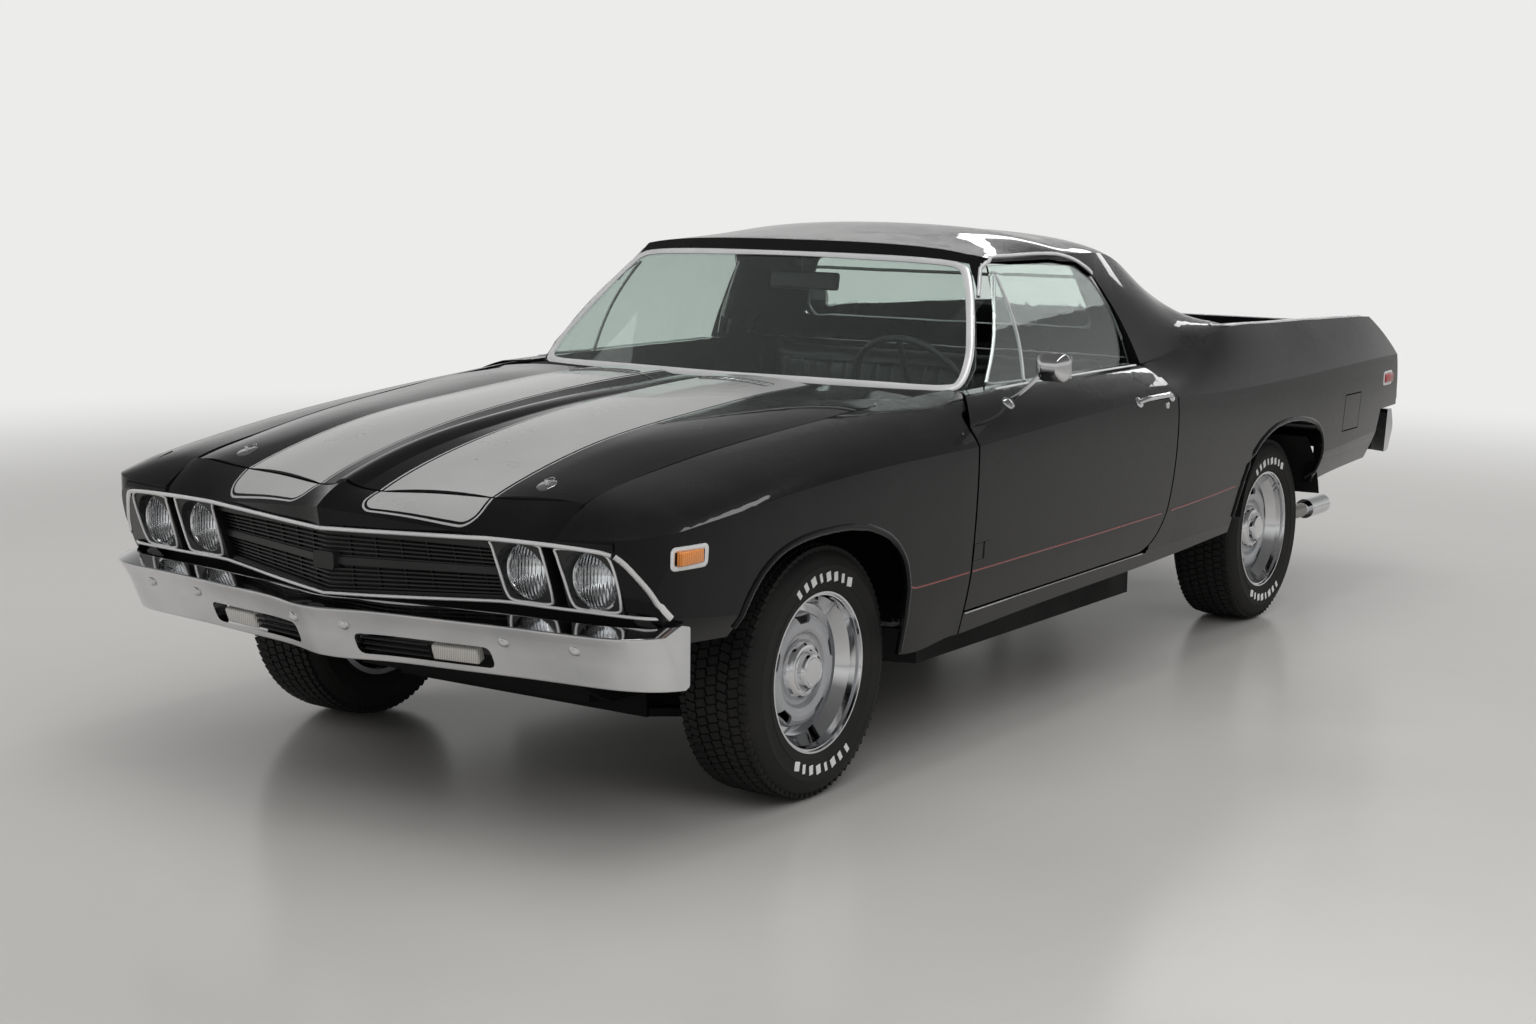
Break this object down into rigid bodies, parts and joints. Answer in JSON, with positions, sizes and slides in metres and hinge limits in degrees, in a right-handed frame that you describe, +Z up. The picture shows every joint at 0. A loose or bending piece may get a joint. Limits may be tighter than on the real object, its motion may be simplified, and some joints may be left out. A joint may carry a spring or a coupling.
{
  "type": "coupe utility car",
  "caption": "Two-door coupe utility car: long hood, bench-seat cab with sail panels and an open load bed behind it.",
  "frame": {"origin": "on the ground, on the centre line, halfway along the body", "axes": "-Y towards the front of the car, +X towards the driver's side, +Z up"},
  "size_m": [2.0389, 5.1566, 1.4169],
  "materials": {
    "body_paint": "deep gloss black",
    "bed_paint": "satin black",
    "chassis_paint": "satin black",
    "bright": "polished chrome",
    "grille_black": "satin black",
    "lamp_glass": "clear ribbed lens",
    "marker_lens": "clear, amber and red lenses",
    "tail_lens": "red lens",
    "window_glass": "green tinted",
    "tyre_rubber": "black rubber",
    "rim_metal": "silver paint with polished ring",
    "trim_black": "grained black",
    "seat_vinyl": "pleated black vinyl",
    "cast_metal": "cast and machined iron",
    "exhaust_metal": "aluminised steel"
  },
  "bodies": {
    "root": {"cab": "body_paint", "windshield": "window_glass", "rear_window": "window_glass", "quarter_left": "body_paint", "quarter_right": "body_paint", "rockers": "body_paint", "header_panel": "body_paint", "headlamp_housings": "grille_black", "headlamps": "lamp_glass", "grille": "grille_black", "front_bumper": "bright", "marker_lamps": "marker_lens", "rear_bumper": "bright", "bed": "bed_paint", "tail_lamps": "tail_lens", "frame": "chassis_paint", "engine": "cast_metal", "floor_pan": "chassis_paint", "engine_bay": "chassis_paint", "dashboard": "trim_black", "steering_column": "trim_black", "seat": "seat_vinyl", "exhaust": "exhaust_metal", "fuel_tank": "exhaust_metal", "front_arms": "chassis_paint", "rear_axle": "cast_metal", "fender_left": "body_paint", "fender_right": "body_paint"},
    "hood": {"hood": "body_paint"},
    "tailgate": {"tailgate": "body_paint"},
    "fuel_lid": {"fuel_door": "body_paint"},
    "driver_door": {"door_left": "body_paint", "door_glass_left": "window_glass", "mirror": "bright"},
    "passenger_door": {"door_right": "body_paint", "door_glass_right": "window_glass"},
    "knuckle_left": {"knuckle_left": "cast_metal"},
    "knuckle_right": {"knuckle_right": "cast_metal"},
    "steering_wheel": {"steering_wheel": "trim_black"},
    "wheel_front_left": {"tyre_front_left": "tyre_rubber", "rim_front_left": "rim_metal"},
    "wheel_front_right": {"tyre_front_right": "tyre_rubber", "rim_front_right": "rim_metal"},
    "wheel_rear_left": {"tyre_rear_left": "tyre_rubber", "rim_rear_left": "rim_metal"},
    "wheel_rear_right": {"tyre_rear_right": "tyre_rubber", "rim_rear_right": "rim_metal"}
  },
  "joints": [
    {"name": "steer_left", "type": "hinge", "parent": "root", "child": "knuckle_left", "pos_m": [0.692, -1.685, 0.327], "axis": [0, 0, 1], "range_deg": [-33, 33]},
    {"name": "steer_right", "type": "hinge", "parent": "root", "child": "knuckle_right", "pos_m": [-0.692, -1.685, 0.327], "axis": [0, 0, 1], "range_deg": [-34, 34]},
    {"name": "steering_wheel_turn", "type": "hinge", "parent": "root", "child": "steering_wheel", "pos_m": [0.372, -0.43, 0.905], "axis": [0, 0.8944, 0.4472], "range_deg": [-560, 560]},
    {"name": "driver_door_swing", "type": "hinge", "parent": "root", "child": "driver_door", "pos_m": [0.93806, -1.0004, 0.65], "axis": [0, 0, -1], "range_deg": [0, 65]},
    {"name": "passenger_door_swing", "type": "hinge", "parent": "root", "child": "passenger_door", "pos_m": [-0.93806, -1.0004, 0.65], "axis": [0, 0, 1], "range_deg": [0, 65]},
    {"name": "hood_lift", "type": "hinge", "parent": "root", "child": "hood", "pos_m": [0, -1.064, 0.94], "axis": [-1, 0, 0], "range_deg": [0, 48]},
    {"name": "tailgate_drop", "type": "hinge", "parent": "root", "child": "tailgate", "pos_m": [0, 2.434, 0.694], "axis": [-1, 0, 0], "range_deg": [0, 90]},
    {"name": "fuel_lid_swing", "type": "hinge", "parent": "root", "child": "fuel_lid", "pos_m": [0.94261, 1.78399, 0.7085], "axis": [-0.0655, 0, -0.9979], "range_deg": [0, 80]},
    {"name": "roll_front_left", "type": "hinge", "parent": "knuckle_left", "child": "wheel_front_left", "pos_m": [0.75, -1.685, 0.327], "axis": [1, 0, 0], "continuous": true},
    {"name": "roll_front_right", "type": "hinge", "parent": "knuckle_right", "child": "wheel_front_right", "pos_m": [-0.75, -1.685, 0.327], "axis": [1, 0, 0], "continuous": true},
    {"name": "roll_rear_left", "type": "hinge", "parent": "root", "child": "wheel_rear_left", "pos_m": [0.75, 1.261, 0.327], "axis": [1, 0, 0], "continuous": true},
    {"name": "roll_rear_right", "type": "hinge", "parent": "root", "child": "wheel_rear_right", "pos_m": [-0.75, 1.261, 0.327], "axis": [1, 0, 0], "continuous": true}
  ],
  "couplings": [
    {"joint": "steer_right", "follows": "steer_left", "ratio": 1},
    {"joint": "steering_wheel_turn", "follows": "steer_left", "ratio": 16}
  ]
}
